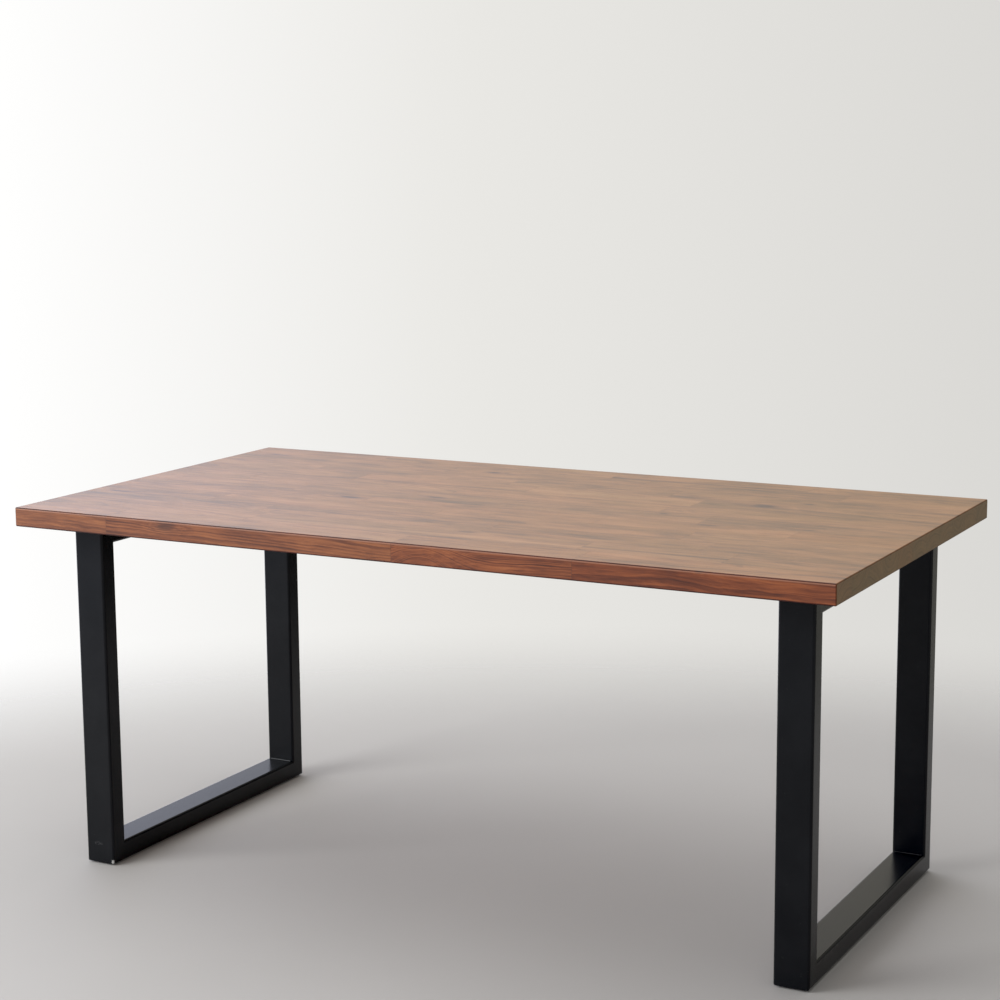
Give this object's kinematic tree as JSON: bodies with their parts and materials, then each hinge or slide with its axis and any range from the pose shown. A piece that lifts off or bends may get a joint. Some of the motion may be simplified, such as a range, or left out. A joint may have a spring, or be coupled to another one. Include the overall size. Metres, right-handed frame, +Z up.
{
  "type": "butcher block table",
  "caption": "Rectangular dining table: a laminated walnut butcher-block top on two closed frames of black rectangular steel tube, with screw-in levelling glides.",
  "frame": {"origin": "on the floor, under the middle of the tabletop", "axes": "+X along the length of the top, from the left frame to the right frame; +Y from the front edge to the back edge; +Z up"},
  "size_m": [1.6, 0.85, 0.705],
  "materials": {
    "walnut": "satin oiled, laminated",
    "black_powder_coat": "satin fine-texture powder coat",
    "black_zinc": "black zinc plate",
    "brass": "machined",
    "zinc_steel": "bright zinc plate",
    "black_nylon": "moulded nylon"
  },
  "bodies": {
    "table": {"stave_row_01": "walnut", "stave_row_02": "walnut", "stave_row_03": "walnut", "stave_row_04": "walnut", "stave_row_05": "walnut", "stave_row_06": "walnut", "stave_row_07": "walnut", "stave_row_08": "walnut", "stave_row_09": "walnut", "stave_row_10": "walnut", "stave_row_11": "walnut", "left_front_upright": "black_powder_coat", "left_back_upright": "black_powder_coat", "left_bottom_rail": "black_powder_coat", "left_top_rail": "black_powder_coat", "left_mounting_plate": "black_powder_coat", "right_front_upright": "black_powder_coat", "right_back_upright": "black_powder_coat", "right_bottom_rail": "black_powder_coat", "right_top_rail": "black_powder_coat", "right_mounting_plate": "black_powder_coat", "left_plate_bolts": "black_zinc", "right_plate_bolts": "black_zinc", "left_plate_washers": "black_zinc", "right_plate_washers": "black_zinc", "left_threaded_inserts": "brass", "right_threaded_inserts": "brass", "left_weld_nuts": "zinc_steel", "right_weld_nuts": "zinc_steel"},
    "left_front_glide": {"left_front_glide_disc": "black_nylon", "left_front_glide_stud": "zinc_steel"},
    "left_back_glide": {"left_back_glide_disc": "black_nylon", "left_back_glide_stud": "zinc_steel"},
    "right_front_glide": {"right_front_glide_disc": "black_nylon", "right_front_glide_stud": "zinc_steel"},
    "right_back_glide": {"right_back_glide_disc": "black_nylon", "right_back_glide_stud": "zinc_steel"}
  },
  "joints": [
    {"name": "left_front_glide_slide", "type": "slide", "parent": "table", "child": "left_front_glide", "axis": [0, 0, -1], "range_m": [0, 0.008]},
    {"name": "left_back_glide_slide", "type": "slide", "parent": "table", "child": "left_back_glide", "axis": [0, 0, -1], "range_m": [0, 0.008]},
    {"name": "right_front_glide_slide", "type": "slide", "parent": "table", "child": "right_front_glide", "axis": [0, 0, -1], "range_m": [0, 0.008]},
    {"name": "right_back_glide_slide", "type": "slide", "parent": "table", "child": "right_back_glide", "axis": [0, 0, -1], "range_m": [0, 0.008]}
  ]
}
